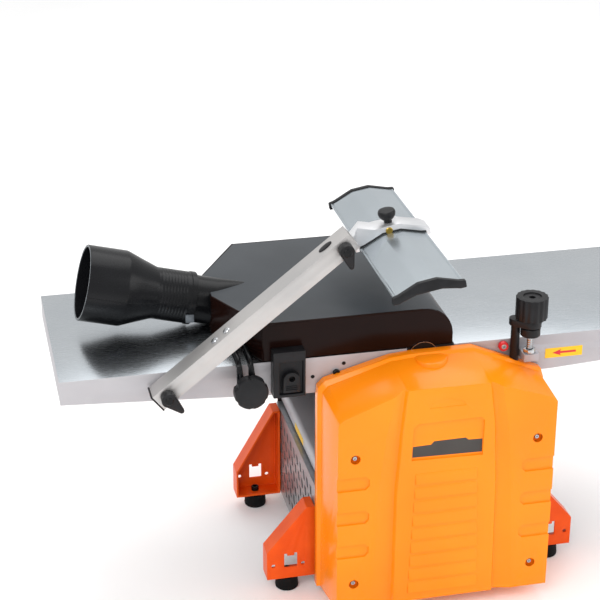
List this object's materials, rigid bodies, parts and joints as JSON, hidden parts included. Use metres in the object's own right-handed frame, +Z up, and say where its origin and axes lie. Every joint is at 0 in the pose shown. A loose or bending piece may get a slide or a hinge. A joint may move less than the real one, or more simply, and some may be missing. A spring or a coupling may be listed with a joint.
{
  "type": "planer thicknesser",
  "caption": "Benchtop planer with flat aluminium tables over a cutter, a bridge guard on a swinging arm, a chip hood with hose adaptor, and a rising thickness table below.",
  "frame": {"origin": "on the floor under the cutter's axis, midway across the tables' width", "axes": "+X along the tables to the infeed end, +Y away from the operator, +Z up"},
  "size_m": [0.96, 0.538, 0.5355],
  "materials": {
    "aluminium": "milled and anodised aluminium, satin",
    "steel": "turned and zinc plated steel",
    "grey_paint": "grey powder coat, semi-gloss",
    "orange_paint": "orange-red paint on folded steel",
    "orange_plastic": "glossy moulded orange ABS",
    "black_plastic": "fine-textured black plastic",
    "rubber": "black moulded rubber",
    "red_plastic": "red moulded plastic",
    "green_plastic": "green moulded plastic"
  },
  "bodies": {
    "frame": {"base_tray": "grey_paint", "side_plate_front": "grey_paint", "side_plate_rear": "grey_paint", "foot_bracket_rear_left": "orange_paint", "foot_bracket_rear_right": "orange_paint", "foot_bracket_front_left": "orange_paint", "foot_bracket_front_right": "orange_paint", "rubber_foot_rear_left": "rubber", "rubber_foot_rear_right": "rubber", "rubber_foot_front_left": "rubber", "rubber_foot_front_right": "rubber", "outfeed_table": "aluminium", "depth_bracket": "black_plastic", "cutter_bearing_front": "steel", "cutter_bearing_rear": "steel", "motor": "grey_paint", "drive_belt": "rubber", "feed_chain": "steel", "lift_chain": "steel", "front_cover": "orange_plastic", "rear_cover": "orange_plastic", "chip_hood": "black_plastic", "hood_clamp_yoke": "black_plastic", "hood_latch_housing": "black_plastic", "switch_box": "black_plastic", "cable_gland": "black_plastic"},
    "infeed": {"infeed_table": "aluminium", "depth_lock_screw": "red_plastic"},
    "depth_knob": {"depth_knob": "black_plastic"},
    "arm": {"guard_arm": "aluminium", "arm_end_cap": "black_plastic"},
    "arm_knob": {"arm_pivot_knob": "black_plastic"},
    "tilt_knob": {"guard_tilt_knob": "black_plastic"},
    "holder": {"guard_holder": "aluminium"},
    "guard": {"guard_profile": "aluminium", "guard_cap_near": "black_plastic", "guard_cap_far": "black_plastic"},
    "guard_knob": {"guard_clamp_knob": "black_plastic"},
    "adaptor": {"hose_adaptor": "black_plastic"},
    "clamp_knob": {"hood_clamp_knob": "black_plastic"},
    "latch_slide": {"hood_latch_slide": "black_plastic"},
    "cutter": {"cutter_block": "steel", "cutter_knife_upper": "steel", "cutter_knife_lower": "steel", "cutter_pulley": "steel"},
    "motor_rotor": {"motor_pulley": "steel"},
    "first_wheel": {"reduction_wheel_first": "black_plastic"},
    "second_wheel": {"reduction_wheel_second": "black_plastic"},
    "roller_infeed": {"feed_roller_infeed": "steel"},
    "roller_outfeed": {"feed_roller_outfeed": "steel"},
    "pawls": {"anti_kickback_pawls": "steel"},
    "thickness_table": {"thickness_table": "aluminium"},
    "screw_rear_left": {"lift_screw_rear_left": "steel"},
    "screw_rear_right": {"lift_screw_rear_right": "steel"},
    "screw_front_left": {"lift_screw_front_left": "steel"},
    "screw_front_right": {"lift_screw_front_right": "steel"},
    "crank": {"lift_crank": "steel"},
    "grip": {"crank_grip": "black_plastic"},
    "start": {"start_button": "green_plastic"},
    "stop": {"stop_button": "red_plastic"}
  },
  "joints": [
    {"name": "depth_knob_turn", "type": "hinge", "parent": "frame", "child": "depth_knob", "pos_m": [0.129, -0.152, 0.4], "axis": [0, 0, 1], "range_deg": [0, 720]},
    {"name": "infeed_lower", "type": "slide", "parent": "frame", "child": "infeed", "axis": [0, 0, 1], "range_m": [-0.003, 0]},
    {"name": "guard_arm_pivot", "type": "hinge", "parent": "frame", "child": "arm", "pos_m": [-0.3496, -0.155, 0.3394], "axis": [0, -1, 0], "range_deg": [-5, 50]},
    {"name": "arm_knob_turn", "type": "hinge", "parent": "arm", "child": "arm_knob", "pos_m": [-0.3496, -0.178, 0.3394], "axis": [0, -1, 0], "range_deg": [0, 120]},
    {"name": "tilt_knob_turn", "type": "hinge", "parent": "arm", "child": "tilt_knob", "pos_m": [-0.1251, -0.178, 0.517], "axis": [0, -1, 0], "range_deg": [0, 120]},
    {"name": "guard_tilt", "type": "hinge", "parent": "arm", "child": "holder", "pos_m": [-0.1251, -0.155, 0.517], "axis": [0, -1, 0], "range_deg": [-12, 12]},
    {"name": "guard_slide", "type": "slide", "parent": "holder", "child": "guard", "axis": [0, 1, 0], "range_m": [-0.05, 0.14]},
    {"name": "guard_knob_turn", "type": "hinge", "parent": "holder", "child": "guard_knob", "pos_m": [-0.05225, -0.0935, 0.53145], "axis": [-0.1736, 0, 0.9848], "range_deg": [0, 180]},
    {"name": "adaptor_pull", "type": "slide", "parent": "frame", "child": "adaptor", "axis": [-0.9694, 0, 0.2453], "range_m": [0, 0.06]},
    {"name": "clamp_knob_turn", "type": "hinge", "parent": "frame", "child": "clamp_knob", "pos_m": [-0.2435, -0.166, 0.3305], "axis": [0, 1, 0], "range_deg": [0, 720]},
    {"name": "latch_slide_lift", "type": "slide", "parent": "frame", "child": "latch_slide", "axis": [0, 0, 1], "range_m": [0, 0.012]},
    {"name": "cutter_spin", "type": "hinge", "parent": "frame", "child": "cutter", "pos_m": [0, 0, 0.328], "axis": [0, 1, 0], "continuous": true},
    {"name": "motor_spin", "type": "hinge", "parent": "frame", "child": "motor_rotor", "pos_m": [0, -0.15, 0.085], "axis": [0, 1, 0], "continuous": true},
    {"name": "first_wheel_spin", "type": "hinge", "parent": "frame", "child": "first_wheel", "pos_m": [0, -0.18, 0.2756], "axis": [0, 1, 0], "continuous": true},
    {"name": "second_wheel_spin", "type": "hinge", "parent": "frame", "child": "second_wheel", "pos_m": [0, -0.175, 0.2252], "axis": [0, 1, 0], "continuous": true},
    {"name": "infeed_roller_spin", "type": "hinge", "parent": "frame", "child": "roller_infeed", "pos_m": [-0.062, 0, 0.3175], "axis": [0, 1, 0], "continuous": true},
    {"name": "outfeed_roller_spin", "type": "hinge", "parent": "frame", "child": "roller_outfeed", "pos_m": [0.062, 0, 0.3175], "axis": [0, 1, 0], "continuous": true},
    {"name": "pawl_swing", "type": "hinge", "parent": "frame", "child": "pawls", "pos_m": [-0.1, 0, 0.324], "axis": [0, -1, 0], "range_deg": [0, 35]},
    {"name": "crank_turn", "type": "hinge", "parent": "frame", "child": "crank", "pos_m": [0.118, 0.2, 0.09], "axis": [0, 1, 0], "range_deg": [0, 13680]},
    {"name": "grip_spin", "type": "hinge", "parent": "crank", "child": "grip", "pos_m": [0.118, 0.24, 0.16], "axis": [0, 1, 0], "continuous": true},
    {"name": "thickness_lift", "type": "slide", "parent": "frame", "child": "thickness_table", "axis": [0, 0, 1], "range_m": [0, 0.1141]},
    {"name": "screw_turn_rear_left", "type": "hinge", "parent": "frame", "child": "screw_rear_left", "pos_m": [-0.118, 0.15, 0.1], "axis": [0, 0, 1], "range_deg": [0, 13680]},
    {"name": "screw_turn_rear_right", "type": "hinge", "parent": "frame", "child": "screw_rear_right", "pos_m": [0.118, 0.15, 0.1], "axis": [0, 0, 1], "range_deg": [0, 13680]},
    {"name": "screw_turn_front_left", "type": "hinge", "parent": "frame", "child": "screw_front_left", "pos_m": [-0.118, -0.15, 0.1], "axis": [0, 0, 1], "range_deg": [0, 13680]},
    {"name": "screw_turn_front_right", "type": "hinge", "parent": "frame", "child": "screw_front_right", "pos_m": [0.118, -0.15, 0.1], "axis": [0, 0, 1], "range_deg": [0, 13680]},
    {"name": "start_press", "type": "slide", "parent": "frame", "child": "start", "axis": [1, 0, 0], "range_m": [-0.003, 0], "stiffness_N_per_m": 300},
    {"name": "stop_press", "type": "slide", "parent": "frame", "child": "stop", "axis": [1, 0, 0], "range_m": [-0.003, 0], "stiffness_N_per_m": 300}
  ],
  "couplings": [
    {"joint": "depth_knob_turn", "follows": "infeed_lower", "rad_per_m": -4188.8},
    {"joint": "motor_spin", "follows": "cutter_spin", "ratio": 0.46429},
    {"joint": "first_wheel_spin", "follows": "cutter_spin", "ratio": -0.18182},
    {"joint": "second_wheel_spin", "follows": "cutter_spin", "ratio": 0.034632},
    {"joint": "infeed_roller_spin", "follows": "cutter_spin", "ratio": 0.015392},
    {"joint": "outfeed_roller_spin", "follows": "cutter_spin", "ratio": 0.015392},
    {"joint": "thickness_lift", "follows": "crank_turn", "m_per_rad": 0.00047746},
    {"joint": "screw_turn_rear_left", "follows": "crank_turn", "ratio": 1},
    {"joint": "screw_turn_rear_right", "follows": "crank_turn", "ratio": 1},
    {"joint": "screw_turn_front_left", "follows": "crank_turn", "ratio": 1},
    {"joint": "screw_turn_front_right", "follows": "crank_turn", "ratio": 1}
  ]
}
